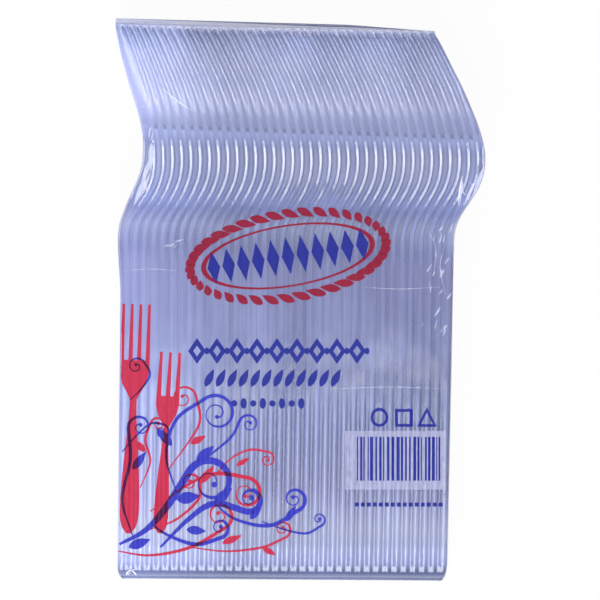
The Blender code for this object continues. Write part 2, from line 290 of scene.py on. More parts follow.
def fork_blank():
    """One flat fork: its corners, with y along it, z across and x through its plate, and its faces."""
    bm = bmesh.new()
    at_root = [z / HEAD_HALF_WIDTH for tine in range(TINE_COUNT) for z in tine_edges(tine, 0)]
    rows = [
        [bm.verts.new((0, s, share * float(half_width(s)))) for share in at_root]
        for s in fork_stations()
    ]
    for low, high in zip(rows, rows[1:]):
        for i in range(len(low) - 1):
            bm.faces.new((low[i], low[i + 1], high[i + 1], high[i]))
    for tine in range(TINE_COUNT):
        low = rows[-1][2 * tine : 2 * tine + 2]
        for share in np.linspace(0, 1, 13)[1:]:
            s = root_length() + share * TINE_LENGTH
            high = [bm.verts.new((0, s, z)) for z in tine_edges(tine, share)]
            bm.faces.new((low[0], low[1], high[1], high[0]))
            low = high
    bmesh.ops.recalc_face_normals(bm, faces=bm.faces)
    plate = bmesh.ops.extrude_face_region(bm, geom=bm.faces[:])
    for part in plate["geom"]:
        if isinstance(part, bmesh.types.BMVert):
            part.co.x = 1.0
    for corner in bm.verts:
        s = corner.co.y
        across = 1 - min(1.0, (corner.co.z / float(half_width(s))) ** 2)
        half = (float(edge_thickness(s)) + float(neck_rib(s)) * across) / 2
        corner.co.x = half if corner.co.x > 0.5 else -half
    shape_edges(bm)
    bmesh.ops.recalc_face_normals(bm, faces=bm.faces)
    outline = [edge for edge in bm.edges if edge.calc_face_angle(0) > 1.0]
    bmesh.ops.bevel(
        bm, geom=outline, offset=EDGE_ROUNDING, segments=2, affect="EDGES", clamp_overlap=True
    )
    return mesh_data(bm)


def pressed(corners, index):
    """The blank's corners laid along a fork's centreline, in the row."""
    length, x, y, slope = centreline(index)
    s = corners[:, 1]
    angle = np.interp(s, length, slope)
    off = corners[:, 0] + dish(s) * (1 - (corners[:, 2] / half_width(s)) ** 2)
    across = np.interp(s, length, x) + off * np.cos(angle)
    along = np.interp(s, length, y) - off * np.sin(angle)
    return np.column_stack([across, along, corners[:, 2]])


def new_piece(name, corners, faces, material):
    mesh = bpy.data.meshes.new(name)
    mesh.from_pydata(corners.tolist(), [], faces)
    mesh.validate()
    mesh.shade_smooth()
    mesh.materials.append(material)
    piece = bpy.data.objects.new(name, mesh)
    bpy.context.scene.collection.objects.link(piece)
    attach(piece, "root")
    return piece


def tip_angle():
    """The row is tipped until the back of its bag, from the handles' ends to the heads, is level."""
    length, _, y, _ = centreline(FORK_COUNT // 2)
    width = half_width(length)
    handle = int(np.argmax(np.where(length < STRETCH_LENGTHS[0], width, 0)))
    head = int(np.argmax(width))
    return math.atan2(width[head] - width[handle], y[head] - y[handle])


def row_to_world(first_fork):
    """The turn and shift that take the row to where the solids lie."""
    turn = np.array(Matrix.Rotation(tip_angle(), 3, "X"))
    turned = first_fork @ turn.T
    low, high = (np.array(corner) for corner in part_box("fork_01"))
    shift = (low + high) / 2 - (turned.min(axis=0) + turned.max(axis=0)) / 2
    return lambda corners: corners @ turn.T + shift


# The film's lines, in the row's own frame
def bridged(step, x, side, radius):
    """The line that a film takes along a side when its hollows are spanned by arcs of this radius."""
    beyond = math.ceil(radius / step)
    outward = np.pad(side * x, beyond, constant_values=-1.0)
    place = np.arange(len(outward)) * step
    reach = place[:, None] - place[None, :]
    arc = np.sqrt(np.clip(radius**2 - reach**2, 0, None))
    near = np.abs(reach) < radius
    rolled = np.where(near, outward[None, :] + arc, -np.inf).max(axis=1)
    spanned = np.where(near, rolled[None, :] - arc, np.inf).min(axis=1)
    return side * spanned[beyond : beyond + len(x)]


def taut(y, height):
    """The line of a film pulled straight over the high places of a height along y."""
    held = []
    for point in zip(y, height):
        while len(held) > 1:
            (y0, h0), (y1, h1) = held[-2], held[-1]
            if (h1 - h0) * (point[0] - y0) > (point[1] - h0) * (y1 - y0):
                break
            held.pop()
        held.append(point)
    ys, hs = zip(*held)
    return np.interp(y, ys, hs)


def swell(place, start, end):
    """Rises smoothly from 0 at the start to 1 halfway and falls back to 0 at the end."""
    share = np.clip((place - start) / (end - start), 0, 1)
    return (1 - np.cos(2 * math.pi * share)) / 2


def side_line(index, side, radius):
    """y and x of the film beside the row's first or last fork."""
    length, x, y, slope = centreline(index)
    half = edge_thickness(length) / 2
    grid = np.arange(y.min(), y.max(), PROFILE_STEP)
    edge = side * np.interp(grid, y, x) + np.interp(grid, y, half) + FILM_CLEARANCE
    crown = side * np.interp(grid, y, x + dish(length)) + np.interp(grid, y, half) + FILM_GAP
    line = side * np.maximum(edge, crown)
    head = grid > np.interp(stretch_end(4), length, y)
    line[head] = bridged(PROFILE_STEP, line[head], side, FILM_HEAD_RADIUS)
    line = bridged(PROFILE_STEP, line, side, radius)
    if side < 0:
        neck = np.interp([stretch_end(1), stretch_end(4)], length, y)
        line -= FILM_NECK_SLACK * swell(grid, *neck)
    for bulge_side, start, middle, reach in FILM_BULGES:
        if bulge_side == side:
            low, top = np.interp([start, middle], length, y)
            line += side * reach * swell(grid, low, 2 * top - low)
    return grid, line


def film_stations():
    """Lengths along the forks where the film has a row of corners."""
    round_end = [END_CORNER_RADIUS * (1 - math.cos(a)) for a in np.linspace(0, math.pi / 2, 10)]
    along = np.linspace(END_CORNER_RADIUS, stretch_end(8), 130)[1:]
    return [*round_end, *along]


def ripple_depth(length):
    """How deep the film dips between the forks' edges: deepest where it clings to the handles' ends."""
    places = [0, 0.030, 0.050, 0.075, root_length() - 0.008, root_length() + 0.004, stretch_end(8)]
    return np.interp(length, places, [0.00030, 0.00026, 0.00016, 0, 0, 0.00012, 0.00012])


def slackness(length):
    """1 where the film stands clear of the forks, over their necks, and 0 where it lies on them."""
    rise = eased((length - FILM_SLACK_START) / FILM_SLACK_RISE)
    fall = eased((length - root_length() + FILM_SLACK_END_LEAD) / FILM_SLACK_FALL)
    return float(rise * (1 - fall))


def between_forks(column):
    """0 at a column of the film over a fork's edge and 1 midway to the next fork's."""
    return 0.5 - 0.5 * math.cos(2 * math.pi * column / FILM_COLUMNS_PER_FORK)


def crumple(x, y, amount):
    """A small height that gives slack film its soft dents."""
    soft = noise.noise(Vector((x * 90, y * 45, 0.3)))
    fine = noise.noise(Vector((x * 260, y * 170, 4.1)))
    return amount * (0.75 * soft + 0.25 * fine)


def film_rows():
    """Rows of the bag's corners, from its closed end under the handles to its seam beyond the tines.

    Each is a length along the forks, y at the left and right, half a height and how far the right end
    droops.
    """
    length, _, y_middle, _ = centreline(FORK_COUNT // 2)
    height_line = taut(y_middle, half_width(length)) + FILM_CLEARANCE
    tops = [centreline(index)[2][-1] for index in (0, FORK_COUNT - 1)]
    rises = [top - y_middle[-1] + FILM_CLEARANCE for top in tops]
    drops = (0, -(FORK_COUNT - 1) * ROW_STEP_DOWN)
    rows = []
    for share in END_PILLOW_SHARES:
        beyond = share * FILM_END_SLACK
        left_y, right_y = (y_middle[0] + drop - beyond for drop in drops)
        fullness = END_PILLOW_LEAST + (1 - END_PILLOW_LEAST) * math.sqrt(1 - share**2)
        rows.append((-beyond, left_y, right_y, float(height_line[0]) * fullness, 0.0))
    for s in film_stations():
        at = float(np.interp(s, length, y_middle))
        share = max(0.0, (s - stretch_end(3)) / (stretch_end(8) - stretch_end(3)))
        left_y, right_y = (at + (1 - share) * d + share * r for d, r in zip(drops, rises))
        rows.append((s, left_y, right_y, float(np.interp(at, y_middle, height_line)), 0.0))
    s, left_y, right_y, height, _ = rows[-1]
    for up, height_share in (*END_FOLDS, (1.0, SEAM_GAP / 2 / height)):
        rise = up * END_FOLD_LENGTH
        droop = 0.5 * up * TOP_RIGHT_DROOP
        rows.append((s, left_y + rise, right_y + rise, height * height_share, droop))
    for up in (0.5, 1.0):
        left_rise = END_FOLD_LENGTH + up * SEAM_WIDTH_LEFT
        right_rise = END_FOLD_LENGTH + up * SEAM_WIDTH_RIGHT
        droop = 0.5 * (1 + up) * TOP_RIGHT_DROOP
        rows.append((s, left_y + left_rise, right_y + right_rise, SEAM_GAP / 2, droop))
    return rows


def corner_inset(s):
    """How far the bag's sides are drawn in at its corners under the handle ends."""
    share = min(1.0, (s + FILM_END_SLACK) / FILM_CORNER_REACH)
    return FILM_CORNER_INSET * (1 - math.sqrt(1 - (1 - share) ** 2))


def film_loop(row, forks, left, right):
    """One loop of corners round the bag, from the front's left to its right and back underneath."""
    s, left_y, right_y, height, droop = row
    left_x = float(np.interp(left_y, *left)) + corner_inset(s)
    right_x = float(np.interp(right_y, *right)) - corner_inset(s)
    radius = min(FILM_CORNER_RADIUS, height)
    dip = float(ripple_depth(s)) if height > HANDLE_EDGE else 0.0
    slack = slackness(s)
    fork_y = np.linspace(left_y, right_y, FORK_COUNT)
    fork_x = [np.interp(at, y, x) for at, (x, y) in zip(fork_y, forks)]

    def place(x, z):
        share = (x - left_x) / (right_x - left_x)
        lowered = droop * float(eased((share - 1 + TOP_RIGHT_REACH) / TOP_RIGHT_REACH))
        return (x, left_y + (right_y - left_y) * share - lowered, z)

    loop = []

    def turn_corner(x, z, first):
        for angle in np.linspace(first, first - math.pi / 2, 4):
            loop.append(place(x + radius * math.cos(angle), z + radius * math.sin(angle)))

    def turn_side(side, x):
        """Both rounded edges on the right, where side is 1, or the left, where it is -1."""
        level = side * (height - radius)
        turn_corner(x - side * radius, level, side * math.pi / 2)
        for step in np.linspace(0, 1, 9)[1:-1]:
            bulge = FILM_SIDE_BULGE * math.sin(math.pi * step)
            loop.append(place(x + side * bulge, level * (1 - 2 * step)))
        turn_corner(x - side * radius, -level, (side - 1) * math.pi / 2)

    for column in range((FORK_COUNT - 1) * FILM_COLUMNS_PER_FORK + 1):
        at = column / FILM_COLUMNS_PER_FORK
        x = float(np.interp(at, range(FORK_COUNT), fork_x))
        y = float(np.interp(at, range(FORK_COUNT), fork_y))
        dent = crumple(x, y, FILM_DENT * slack)
        loop.append(place(x, height - dip * between_forks(column) + dent))
    turn_side(1, right_x)
    for at in np.linspace(FORK_COUNT - 1, 0, 2 * FORK_COUNT - 1):
        loop.append(place(float(np.interp(at, range(FORK_COUNT), fork_x)), -height))
    turn_side(-1, left_x)
    return loop


def make_film(to_world, material):
    forks = [centreline(index)[1:3] for index in range(FORK_COUNT)]
    left = side_line(0, -1, FILM_LEFT_RADIUS)
    right = side_line(FORK_COUNT - 1, 1, FILM_RIGHT_RADIUS)
    loops = [film_loop(row, forks, left, right) for row in film_rows()]
    count = len(loops[0])
    corners = to_world(np.array(loops).reshape(-1, 3))
    last = (len(loops) - 1) * count
    faces = [list(range(count))[::-1], list(range(last, last + count))]
    for row in range(len(loops) - 1):
        for i in range(count):
            after = (i + 1) % count
            low, high = row * count, (row + 1) * count
            faces.append([low + i, low + after, high + after, high + i])
    film = new_piece("film", corners, faces, material)
    columns = (FORK_COUNT - 1) * FILM_COLUMNS_PER_FORK + 1
    gaps = [between_forks(column) for column in range(columns)] + [0.5] * (count - columns)
    attribute = film.data.attributes.new("between_forks", "FLOAT", "POINT")
    attribute.data.foreach_set("value", gaps * len(loops))
    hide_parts("film_bag")
    return BVHTree.FromPolygons(corners.tolist(), faces)


# Materials
def shader_of(name):
    material = bpy.data.materials.new(name)
    material.use_nodes = True
    return material, material.node_tree, material.node_tree.nodes["Principled BSDF"]


def texture_place(tree, scale):
    coordinates = tree.nodes.new("ShaderNodeTexCoord")
    mapping = tree.nodes.new("ShaderNodeMapping")
    mapping.inputs["Scale"].default_value = scale
    tree.links.new(coordinates.outputs["Object"], mapping.inputs["Vector"])
    return mapping.outputs["Vector"]


def noise_of(tree, place, scale, detail=3.0):
    texture = tree.nodes.new("ShaderNodeTexNoise")
    texture.inputs["Scale"].default_value = scale
    texture.inputs["Detail"].default_value = detail
    tree.links.new(place, texture.inputs["Vector"])
    return texture.outputs["Fac"]


def ranged(tree, source, low, high, start=0.3, end=0.7):
    node = tree.nodes.new("ShaderNodeMapRange")
    node.inputs["From Min"].default_value = start
    node.inputs["From Max"].default_value = end
    node.inputs["To Min"].default_value = low
    node.inputs["To Max"].default_value = high
    tree.links.new(source, node.inputs["Value"])
    return node.outputs["Result"]


def two_tone(tree, source, first, second):
    mix = tree.nodes.new("ShaderNodeMix")
    mix.data_type = "RGBA"
    tree.links.new(source, mix.inputs["Factor"])
    mix.inputs["A"].default_value = (*first, 1)
    mix.inputs["B"].default_value = (*second, 1)
    return mix.outputs["Result"]


def bumped(tree, shader, source, strength, distance):
    bump = tree.nodes.new("ShaderNodeBump")
    bump.inputs["Strength"].default_value = strength
    bump.inputs["Distance"].default_value = distance
    tree.links.new(source, bump.inputs["Height"])
    tree.links.new(bump.outputs["Normal"], shader.inputs["Normal"])


def joined(tree, operation, first, second):
    node = tree.nodes.new("ShaderNodeMath")
    node.operation = operation
    for socket, value in zip(node.inputs, (first, second)):
        if isinstance(value, (int, float)):
            socket.default_value = value
        else:
            tree.links.new(value, socket)
    return node.outputs["Value"]


def times(tree, first, second):
    return joined(tree, "MULTIPLY", first, second)


def plus(tree, first, second):
    return joined(tree, "ADD", first, second)


def place_axes(tree):
    """X, Y and Z of a place on the pack."""
    coordinates = tree.nodes.new("ShaderNodeTexCoord")
    place = tree.nodes.new("ShaderNodeSeparateXYZ")
    tree.links.new(coordinates.outputs["Object"], place.inputs["Vector"])
    return place.outputs


def photo_row(tree, place):
    """The row of the photograph, from 0 at its top to 1, that a place on the pack is seen in.

    The rows lean with the pack's top edge and are level again at its bottom.
    """
    lean = ranged(tree, place["Y"], 0, TOP_EDGE_SHEAR, -HALF_PACK_LENGTH, HALF_PACK_LENGTH)
    from_left = plus(tree, place["X"], HALF_PACK_WIDTH)
    along = plus(tree, place["Y"], times(tree, lean, from_left))
    bottom = (IMAGE_MIDDLE[1] - IMAGE_WIDTH) * PIXEL
    return ranged(tree, along, 1, 0, bottom, IMAGE_MIDDLE[1] * PIXEL)


def along_rows(tree, row, stops):
    """A value or colour that changes down the rows of the photograph."""
    ramp = tree.nodes.new("ShaderNodeValToRGB")
    tree.links.new(row, ramp.inputs["Fac"])
    elements = ramp.color_ramp.elements
    while len(elements) < len(stops):
        elements.new(0.5)
    for element, (at, value) in zip(elements, stops):
        element.position = at / IMAGE_WIDTH
        element.color = (*value, 1) if isinstance(value, tuple) else (value, value, value, 1)
    return ramp.outputs["Color"]


def fork_plastic():
    material, tree, shader = shader_of("clear_polystyrene")
    cloudy = noise_of(tree, texture_place(tree, (1, 1, 1)), 40)
    flow = noise_of(tree, texture_place(tree, (900, 60, 900)), 1.0)
    colour = two_tone(tree, cloudy, (0.46, 0.53, 0.92), (0.56, 0.62, 0.96))
    tree.links.new(colour, shader.inputs["Base Color"])
    tree.links.new(ranged(tree, flow, 0.05, 0.13), shader.inputs["Roughness"])
    shader.inputs["Transmission Weight"].default_value = 0.55
    shader.inputs["IOR"].default_value = 2.0
    bumped(tree, shader, flow, 0.08, 0.0001)
    return material


def gap_share(tree):
    """0 on the film over a fork's edge and 1 midway to the next."""
    between = tree.nodes.new("ShaderNodeAttribute")
    between.attribute_name = "between_forks"
    return between.outputs["Fac"]


# The film down the rows of the photograph: its colour, with painted shade in dark bands over the tips and
# the handle ends and painted light over the lower handles, and how milky it is over and between the forks
FILM_TONES_AND_SHADING = (
    (15, (0.34, 0.40, 0.78)),
    (18, (0.34, 0.40, 0.80)),
    (22, (0.26, 0.32, 0.68)),
    (25, (0.19, 0.23, 0.50)),
    (31, (0.21, 0.26, 0.54)),
    (44, (0.34, 0.40, 0.74)),
    (60, (0.50, 0.56, 0.94)),
    (95, (0.56, 0.61, 0.98)),
    (122, (0.54, 0.60, 0.98)),
    (129, (0.52, 0.59, 1.0)),
    (190, (0.42, 0.50, 1.0)),
    (205, (0.34, 0.40, 0.80)),
    (222, (0.54, 0.61, 1.0)),
    (245, (0.34, 0.37, 0.68)),
    (262, (0.31, 0.33, 0.61)),
    (340, (0.33, 0.37, 0.69)),
    (400, (0.38, 0.45, 0.90)),
    (500, (0.54, 0.58, 1.0)),
    (530, (0.62, 0.68, 1.0)),
    (550, (0.54, 0.60, 1.0)),
    (562, (0.38, 0.43, 0.80)),
    (571, (0.13, 0.155, 0.31)),
    (575, (0.12, 0.145, 0.30)),
    (579, (0.13, 0.155, 0.32)),
)
HAZE_OVER_FORKS = (
    (15, 0.45), (17, 0.38), (21, 0.38), (23, 0.55), (27, 0.55), (30, 0.45), (60, 0.36),
    (100, 0.42), (131, 0.34), (146, 0.04), (186, 0.05), (200, 0.18), (214, 0.28), (235, 0.36),
    (262, 0.54), (400, 0.50), (500, 0.45), (545, 0.40), (562, 0.55), (571, 0.86),
)
MORE_HAZE_BETWEEN = (
    (18, 0.0), (28, 0.0), (31, 0.25), (60, 0.15), (122, 0.12), (124, 0.40), (127, 0.40),
    (129, 0.30), (146, 0.40), (200, 0.34), (215, 0.0), (235, 0.0), (262, 0.10), (400, 0.05),
    (560, 0.10), (571, 0.0),
)
# The rows that show fine streaks of painted light and shade, soft patches of painted shade and light, a
# veil at the left, shade at the right and past the left, painted shade in the gaps between the handles,
# and painted shade as a dark dash at each gap between two forks' tines
FINE_STREAK_SHADING_ROWS = ((238, 0), (262, 1), (345, 1), (370, 0.4), (430, 0.3))
SHADE_PATCH_ROWS = ((22, 0), (30, 1), (60, 0.5), (95, 0.25))
VEIL_ROWS = ((35, 0), (48, 0.16), (112, 0.14), (124, 0))
RIGHT_SHADE_ROWS = ((245, 0), (265, 1), (480, 1), (508, 0))
MIDDLE_SHADE_ROWS = ((342, 0), (370, 1), (484, 1), (510, 0.15), (562, 0))
GAP_SHADE_ROWS = ((345, 0), (372, 0.18), (430, 0.32), (500, 0.34), (530, 0.2), (562, 0))
TINE_ROOT_SHADE_ROWS = ((122.6, 0), (124, 1), (126.6, 1), (128, 0))


def film_tone_and_shade(tree, row, place):
    """The film's colour, lighter to the left, with painted shade over the tips, the handle ends and the
    gaps between the forks, and painted light over the lower handles.
    """
    half = HALF_PACK_WIDTH
    fine = noise_of(tree, texture_place(tree, (1300, 12, 60)), 1.0, 2.0)
    broad = noise_of(tree, texture_place(tree, (70, 40, 60)), 1.0, 2.0)
    # Fine streaks and soft patches of painted light and shade
    changes = (
        (ranged(tree, fine, -0.16, 0.16), FINE_STREAK_SHADING_ROWS),
        (ranged(tree, broad, -0.30, 0.26), SHADE_PATCH_ROWS),
        (ranged(tree, place["X"], 0.0, -0.15, 0.3 * half, 0.9 * half), RIGHT_SHADE_ROWS),
        (ranged(tree, place["X"], 0.0, -0.22, -0.75 * half, -0.35 * half), MIDDLE_SHADE_ROWS),
    )
    level = ranged(tree, place["X"], 1.5, 1.0, -half, -0.4 * half)
    for change, rows in changes:
        level = plus(tree, level, times(tree, change, along_rows(tree, row, rows)))
    between = gap_share(tree)
    # Painted shade in the gaps between the forks: over the handles, and as a dark dash at each tine root
    painted_gap_shade = (
        (ranged(tree, between, 0, 1, 0.3, 0.9), GAP_SHADE_ROWS),
        (ranged(tree, between, 0, 0.5, 0.4, 0.8), TINE_ROOT_SHADE_ROWS),
    )
    for gap, rows in painted_gap_shade:
        darker = times(tree, gap, along_rows(tree, row, rows))
        level = times(tree, level, joined(tree, "SUBTRACT", 1.0, darker))
    scaled = tree.nodes.new("ShaderNodeVectorMath")
    scaled.operation = "SCALE"
    tree.links.new(along_rows(tree, row, FILM_TONES_AND_SHADING), scaled.inputs["Vector"])
    tree.links.new(level, scaled.inputs["Scale"])
    return scaled.outputs["Vector"]


def film_haze(tree, row, place, back):
    """How milky the film looks: clearer over the forks' edges than between them, cloudiest underneath."""
    between = times(tree, along_rows(tree, row, MORE_HAZE_BETWEEN), gap_share(tree))
    haze = plus(tree, along_rows(tree, row, HAZE_OVER_FORKS), between)
    haze = plus(tree, haze, times(tree, back, 0.6))
    to_left = ranged(tree, place["X"], 1.0, 0.0, -0.9 * HALF_PACK_WIDTH, -0.45 * HALF_PACK_WIDTH)
    haze = plus(tree, haze, times(tree, to_left, along_rows(tree, row, VEIL_ROWS)))
    cloudy = noise_of(tree, texture_place(tree, (60, 12, 60)), 1.0)
    haze = times(tree, haze, ranged(tree, cloudy, 0.88, 1.12))
    edge_on = tree.nodes.new("ShaderNodeLayerWeight")
    edge_on.inputs["Blend"].default_value = 0.35
    rim = ranged(tree, edge_on.outputs["Facing"], 0.0, 0.5, 0.4, 1.0)
    return plus(tree, haze, rim)


def film_plastic():
    material, tree, shader = shader_of("clear_film")
    place = place_axes(tree)
    row = photo_row(tree, place)
    back = ranged(tree, place["Z"], 1.0, 0.0, 0.001, 0.004)
    blend = tree.nodes.new("ShaderNodeMix")
    blend.data_type = "RGBA"
    tree.links.new(back, blend.inputs["Factor"])
    tree.links.new(film_tone_and_shade(tree, row, place), blend.inputs["A"])
    blend.inputs["B"].default_value = (0.40, 0.47, 0.95, 1)
    tree.links.new(blend.outputs["Result"], shader.inputs["Base Color"])
    tree.links.new(film_haze(tree, row, place, back), shader.inputs["Alpha"])
    shader.inputs["Roughness"].default_value = 0.12
    shader.inputs["IOR"].default_value = 1.8
    crinkle = noise_of(tree, texture_place(tree, (420, 160, 420)), 1.0, 4.0)
    bumped(tree, shader, crinkle, 0.14, 0.0001)
    return material


def ink_and_glare_material(name, first, second, low, high):
    """A mottled colour between two others, that hides what is under it from a low to a high share, used
    for the print's inks and for the painted glare on the film.
    """
    material, tree, shader = shader_of(name)
    mottle = noise_of(tree, texture_place(tree, (1200, 300, 1200)), 1.0, 4.0)
    tree.links.new(two_tone(tree, mottle, first, second), shader.inputs["Base Color"])
    tree.links.new(ranged(tree, mottle, low, high), shader.inputs["Alpha"])
    shader.inputs["Roughness"].default_value = 0.3
    shader.inputs["Specular IOR Level"].default_value = 0.15
    bumped(tree, shader, mottle, 0.1, 0.0001)
    return material


# Shapes of the print, in the photograph's pixels
def turned(points, middle, tilt):
    turn = math.radians(tilt)
    moved = []
    for point in points:
        x, y = point[0] - middle[0], point[1] - middle[1]
        right = x * math.cos(turn) + y * math.sin(turn)
        down = y * math.cos(turn) - x * math.sin(turn)
        moved.append((middle[0] + right, middle[1] + down))
    return moved


def ellipse(middle, across, up, tilt=0.0, count=48):
    angles = [2 * math.pi * i / count for i in range(count)]
    points = [(middle[0] + across * math.cos(a), middle[1] + up * math.sin(a)) for a in angles]
    return turned(points, middle, tilt)


def box(left, top, right, bottom):
    return [(left, top), (right, top), (right, bottom), (left, bottom)]


def outlined(points, inner_share):
    """The rim of a shape, between its outline and a smaller copy of it."""
    points = np.array(points, float)
    middle = points.mean(axis=0)
    inner = middle + (points - middle) * inner_share
    count = len(points)
    return [
        [points[i], points[(i + 1) % count], inner[(i + 1) % count], inner[i]] for i in range(count)
    ]


def leaf(base, tip, width):
    """A pointed leaf from its base to its tip, fullest past its middle."""
    base, tip = np.array(base, float), np.array(tip, float)
    along = tip - base
    across = np.array([-along[1], along[0]]) / np.hypot(*along)
    shares = np.linspace(0, 1, 9)
    reach = np.sin(math.pi * shares**0.8) * width / 2
    right = [base + s * along + r * across for s, r in zip(shares, reach)]
    left = [base + s * along - r * across for s, r in zip(shares[1:-1], reach[1:-1])]
    return right + left[::-1]


def smooth(points, steps=10):
    """A smooth path through a few points."""
    path = np.array(points, float)
    held = np.vstack([2 * path[0] - path[1], path, 2 * path[-1] - path[-2]])
    places = []
    for a, b, c, d in zip(held, held[1:], held[2:], held[3:]):
        for t in np.linspace(0, 1, steps, endpoint=False):
            cubic = 2 * b + (c - a) * t + (2 * a - 5 * b + 4 * c - d) * t**2
            places.append((cubic + (3 * b - a - 3 * c + d) * t**3) / 2)
    return np.array([*places, path[-1]])


def ribbon(path, widths):
    """Faces of a band of changing width along a path."""
    run = np.gradient(path, axis=0)
    across = np.column_stack([-run[:, 1], run[:, 0]]) / np.hypot(run[:, 0], run[:, 1])[:, None]
    right = path + across * widths[:, None] / 2
    left = path - across * widths[:, None] / 2
    return [[left[i], right[i], right[i + 1], left[i + 1]] for i in range(len(path) - 1)]


def scroll(points, radius, turns, handed, width):
    """A stem along a smooth path that runs on into a spiral with a small ball at its end."""
    path = smooth(points)
    ahead = path[-1] - path[-2]
    ahead /= np.hypot(*ahead)
    centre = path[-1] + handed * radius * np.array([-ahead[1], ahead[0]])
    first = math.atan2(*(path[-1] - centre)[::-1])
    share = np.linspace(0, 1, int(30 * turns) + 2)[1:]
    angle = first + handed * 2 * math.pi * turns * share
    reach = radius * (1 - 0.82 * share)
    spiral = centre + np.column_stack([reach * np.cos(angle), reach * np.sin(angle)])
    whole = np.vstack([path, spiral])
    rise = np.linspace(0, 1, len(whole))
    swelling = np.sin(math.pi * np.clip(0.10 + 1.15 * rise, 0, 1))
    widths = np.maximum(1.2, width * swelling)
    ball = ellipse(spiral[-1], 1.1 + width * 0.25, 1.1 + width * 0.25, count=16)
    return [*ribbon(whole, widths), ball]


def fork_figure(left, top, width, height, tines, tilt):
    """A fork's outline seen flat, as parts that meet."""
    right = left + width
    middle = left + width / 2
    root = top + height * 0.25
    neck = top + height * 0.42
    end = top + height
    step = width / (2 * tines - 1)
    parts = []
    for tine in range(tines):
        x = left + 2 * tine * step
        parts.append([(x, root), (x + step * 0.2, top + 2), (x + step * 0.8, top + 2), (x + step, root)])
    head = [(left, root), (right, root), (right, root + height * 0.05)]
    head += [(right - width * 0.10, root + height * 0.10), (middle + width * 0.11, neck)]
    head += [(middle - width * 0.11, neck), (left + width * 0.10, root + height * 0.10)]
    head += [(left, root + height * 0.05)]
    handle = smooth([(middle, neck), (middle, neck + height * 0.25), (middle, end)], 12)
    share = np.linspace(0, 1, len(handle))
    widths = width * (0.22 + 0.42 * eased(share * 1.15))
    widths *= np.sqrt(np.clip(1 - ((share - 0.86) / 0.145).clip(0, 1) ** 2, 0.02, 1))
    parts += [head, *ribbon(handle, widths)]
    return [turned(part, (middle, end), tilt) for part in parts]


def on_pack(point):
    return (point[0] - IMAGE_MIDDLE[0]) * PIXEL, (IMAGE_MIDDLE[1] - point[1]) * PIXEL


def lay_print_and_glare(name, outlines, material, film, lift=INK_LIFT, grain=1.0):
    """Lays outlines of the print and of the painted glare on the film's front, cut fine enough to follow
    it.
    """
    bm = bmesh.new()
    for outline in outlines:
        bm.faces.new([bm.verts.new((*on_pack(point), 0)) for point in outline])
    bmesh.ops.remove_doubles(bm, verts=bm.verts[:], dist=1e-7)
    bmesh.ops.triangulate(bm, faces=bm.faces[:])
    for axis, step in ((0, INK_CUT_ACROSS), (1, INK_CUT_ALONG * grain)):
        values = [corner.co[axis] for corner in bm.verts]
        normal = Vector((1 - axis, axis, 0))
        for cut in np.arange(math.ceil(min(values) / step) * step, max(values), step):
            geometry = bm.verts[:] + bm.edges[:] + bm.faces[:]
            bmesh.ops.bisect_plane(bm, geom=geometry, plane_co=normal * cut, plane_no=normal)
    down = Vector((0, 0, -1))
    off_pack = []
    for corner in bm.verts:
        hit, slope, _, _ = film.ray_cast(Vector((corner.co.x, corner.co.y, 0.1)), down)
        if hit and abs(slope.z) > 0.5:
            corner.co.z = hit.z + lift
        else:
            off_pack.append(corner)
    bmesh.ops.delete(bm, geom=off_pack, context="VERTS")
    for face in bm.faces:
        face.normal_update()
        if face.normal.z < 0:
            face.normal_flip()
    piece = new_piece(name, *mesh_data(bm), material)
    return piece


def darken_overlaps(upper, lowers, material):
    """Gives the darker ink to the faces of an upper print that lie over a lower one."""
    upper.data.materials.append(material)
    trees = []
    for lower in lowers:
        corners = [corner.co for corner in lower.data.vertices]
        trees.append(BVHTree.FromPolygons(corners, [face.vertices[:] for face in lower.data.polygons]))
    down = Vector((0, 0, -1))
    for face in upper.data.polygons:
        above = face.center + Vector((0, 0, 0.01))
        if any(tree.ray_cast(above, down)[0] for tree in trees):
            face.material_index = 1


# The oval badge
BADGE_MIDDLE = (288, 256)
BADGE_TILT = 9
ROPE_LEAVES = 40
BADGE_LOZENGES = 11


def badge_shapes():
    """An oval cartouche: a row of lozenges, and the ring and the rope border round it."""
    middle_x, middle_y = BADGE_MIDDLE
    border = []
    for i in range(ROPE_LEAVES):
        angle = 2 * math.pi * i / ROPE_LEAVES
        lean = 2 * math.pi * (i + 1.2) / ROPE_LEAVES
        base = (middle_x + 104 * math.cos(angle), middle_y + 46 * math.sin(angle))
        tip = (middle_x + 94 * math.cos(lean), middle_y + 37 * math.sin(lean))
        border.append(turned(leaf(base, tip, 8), BADGE_MIDDLE, BADGE_TILT))
    border += outlined(ellipse(BADGE_MIDDLE, 88, 31, BADGE_TILT), 0.94)
    lozenges = []
    for i in range(BADGE_LOZENGES):
        off = i - BADGE_LOZENGES // 2
        x = middle_x + 15 * off
        tall = 19 - 0.11 * off**2
        points = [(x - 6.4, middle_y), (x, middle_y - tall), (x + 6.4, middle_y), (x, middle_y + tall)]
        lozenges.append(turned(points, BADGE_MIDDLE, BADGE_TILT))
    return lozenges, border


def ornament_rows():
    """A row of lozenges, a row of leaves and a row of dots."""
    shapes = []
    for i in range(9):
        x = 197 + i * 20
        shapes += outlined([(x - 9, 351), (x, 338), (x + 9, 351), (x, 364)], 0.42)
        shapes.append(ellipse((x + 10, 351), 2.6, 3.4, count=16))
    for i in range(12):
        x = 205 + i * 11.5
        shapes.append(leaf((x, 387), (x + 9, 369), 7.5))
    for i in range(8):
        shapes.append(ellipse((234 + i * 9.6, 403.5), 3.2, 5.4 if i % 2 else 3.2, count=20))
    return shapes


